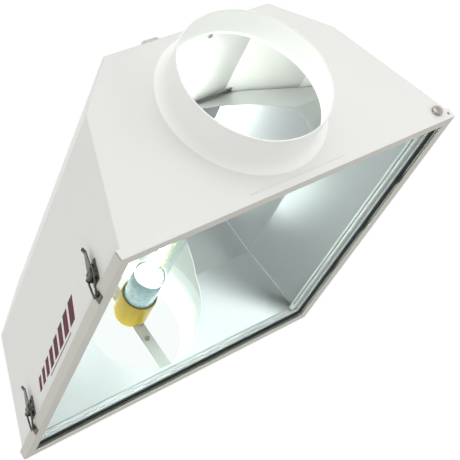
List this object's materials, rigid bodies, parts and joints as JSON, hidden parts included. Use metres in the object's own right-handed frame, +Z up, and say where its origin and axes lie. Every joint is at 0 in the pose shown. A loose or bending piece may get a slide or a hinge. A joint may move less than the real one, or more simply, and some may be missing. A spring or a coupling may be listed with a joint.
{
  "type": "grow lamp",
  "caption": "Air-cooled grow lamp hood with round duct collars, faceted reflector, hinged glass door, draw latches and a mogul-base lamp.",
  "frame": {"origin": "centre of the rim at the underside of the glass door", "axes": "+Z up as the hood hangs; +Y along the duct axis towards the lamp holder; +X towards the door's hinge, with the latches at -X"},
  "size_m": [0.5347, 0.636, 0.264],
  "materials": {
    "hood_paint": "warm white powder coat",
    "door_paint": "warm white powder coat",
    "collar_paint": "warm white powder coat",
    "reflector": "bright rolled",
    "glass": "clear tempered",
    "gasket": "matt",
    "latch_steel": "dark plated",
    "zinc_steel": "galvanised",
    "bolt_steel": "zinc plated",
    "socket_ceramic": "mustard glazed ceramic",
    "brass": "plated",
    "bulb_glass": "clear",
    "base_metal": "nickel plated brass",
    "insulator": "black glass",
    "arc_ceramic": "translucent ceramic",
    "lamp_wire": "bright",
    "gland_plastic": "moulded"
  },
  "bodies": {
    "root": {"bracket_screw": "bolt_steel", "duct_collar_front": "collar_paint", "duct_collar_rear": "collar_paint", "earth_screw": "bolt_steel", "end_panel_front": "hood_paint", "end_panel_rear": "hood_paint", "gland_nut": "gland_plastic", "hanging_tabs": "zinc_steel", "hinge_bolts": "bolt_steel", "hinge_bracket_front": "zinc_steel", "hinge_bracket_rear": "zinc_steel", "hinge_nuts": "bolt_steel", "hood_shell": "hood_paint", "latch_base_front": "latch_steel", "latch_base_rear": "latch_steel", "latch_pins": "latch_steel", "latch_rivets": "latch_steel", "lead_gland": "gland_plastic", "reflector_end_front": "reflector", "reflector_end_rear": "reflector", "reflector_side_left": "reflector", "reflector_side_right": "reflector", "reflector_stays": "zinc_steel", "reflector_top": "reflector", "socket_body": "socket_ceramic", "socket_bracket": "hood_paint", "socket_contact": "brass", "socket_screws": "bolt_steel", "socket_shell": "brass", "tab_rivets": "zinc_steel"},
    "door": {"door_gasket": "gasket", "door_rail_front": "door_paint", "door_rail_left": "door_paint", "door_rail_rear": "door_paint", "door_rail_right": "door_paint", "glass_clips": "zinc_steel", "glass_pane": "glass", "hinge_leaf_front": "zinc_steel", "hinge_leaf_rear": "zinc_steel", "hinge_pins": "bolt_steel", "latch_keepers": "latch_steel"},
    "latch_lever_front": {"latch_lever_front": "latch_steel"},
    "latch_lever_rear": {"latch_lever_rear": "latch_steel"},
    "latch_bail_front": {"latch_bail_front": "latch_steel"},
    "latch_bail_rear": {"latch_bail_rear": "latch_steel"},
    "lamp": {"arc_tube": "arc_ceramic", "arc_tube_cap_front": "lamp_wire", "arc_tube_cap_rear": "lamp_wire", "arc_tube_frame": "lamp_wire", "dome_spring": "lamp_wire", "getter_band": "lamp_wire", "lamp_base_contact": "brass", "lamp_base_insulator": "insulator", "lamp_base_shell": "base_metal", "lamp_envelope": "bulb_glass", "lamp_stem": "bulb_glass"}
  },
  "joints": [
    {"name": "door_hinge", "type": "hinge", "parent": "root", "child": "door", "pos_m": [0.259, 0, 0.007], "axis": [0, -1, 0], "range_deg": [0, 100]},
    {"name": "latch_front", "type": "hinge", "parent": "root", "child": "latch_lever_front", "pos_m": [-0.25924, -0.178, 0.03296], "axis": [0, -1, 0], "range_deg": [0, 150]},
    {"name": "latch_rear", "type": "hinge", "parent": "root", "child": "latch_lever_rear", "pos_m": [-0.25924, 0.178, 0.03296], "axis": [0, -1, 0], "range_deg": [0, 150]},
    {"name": "bail_front", "type": "hinge", "parent": "latch_lever_front", "child": "latch_bail_front", "pos_m": [-0.25711, -0.178, 0.03857], "axis": [0, -1, 0], "range_deg": [-150, 0]},
    {"name": "bail_rear", "type": "hinge", "parent": "latch_lever_rear", "child": "latch_bail_rear", "pos_m": [-0.25711, 0.178, 0.03857], "axis": [0, -1, 0], "range_deg": [-150, 0]},
    {"name": "lamp_pull", "type": "slide", "parent": "root", "child": "lamp", "axis": [0, -1, 0], "range_m": [0, 0.05]}
  ],
  "couplings": [
    {"joint": "bail_front", "follows": "latch_front", "ratio": -1},
    {"joint": "bail_rear", "follows": "latch_rear", "ratio": -1}
  ]
}
